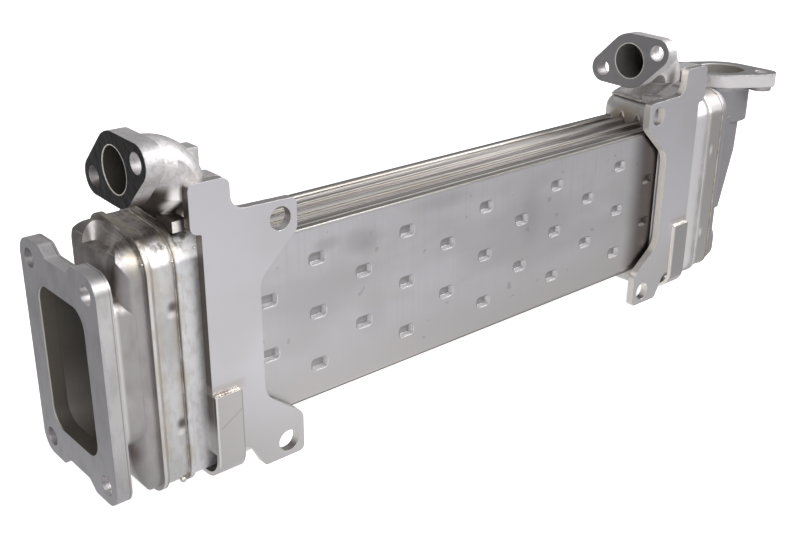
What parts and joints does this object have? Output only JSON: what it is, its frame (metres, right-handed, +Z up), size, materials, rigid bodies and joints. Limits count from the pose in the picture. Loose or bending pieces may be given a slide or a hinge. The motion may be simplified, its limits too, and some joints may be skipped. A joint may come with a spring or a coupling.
{
  "type": "exhaust gas recirculation cooler",
  "caption": "Welded stainless exhaust gas cooler with flat gas ducts, dimpled side covers, cast coolant elbows, two mounting brackets and a cast gas outlet.",
  "frame": {"origin": "centre of the outer face of the gas inlet flange, on the axis of the core", "axes": "+X along the cooler from the gas inlet to the gas outlet, -Y towards the mounting bracket side, +Z up towards the coolant flanges"},
  "size_m": [0.4875, 0.0737, 0.1681],
  "materials": {
    "gas_plate": "machined",
    "pressed_sheet": "bare pressed sheet, heat tinted at the welds",
    "core_sheet": "brushed",
    "bracket_plate": "satin",
    "casting": "shot blasted casting"
  },
  "bodies": {
    "root": {"gas_inlet_flange": "gas_plate", "inlet_diffuser": "pressed_sheet", "inlet_header": "pressed_sheet", "inlet_coolant_tank": "pressed_sheet", "inlet_coolant_elbow": "casting", "inlet_bracket": "bracket_plate", "inlet_strap": "bracket_plate", "front_cover": "core_sheet", "rear_cover": "core_sheet", "gas_duct_front": "core_sheet", "gas_duct_middle": "core_sheet", "gas_duct_rear": "core_sheet", "gas_fin_front": "core_sheet", "gas_fin_middle": "core_sheet", "gas_fin_rear": "core_sheet", "top_strip_front": "core_sheet", "top_strip_rear": "core_sheet", "bottom_strip_front": "core_sheet", "bottom_strip_rear": "core_sheet", "outlet_coolant_tank": "pressed_sheet", "outlet_header": "pressed_sheet", "outlet_coolant_elbow": "casting", "outlet_bracket": "bracket_plate", "outlet_strap": "bracket_plate", "gas_outlet_elbow": "casting"}
  },
  "joints": []
}
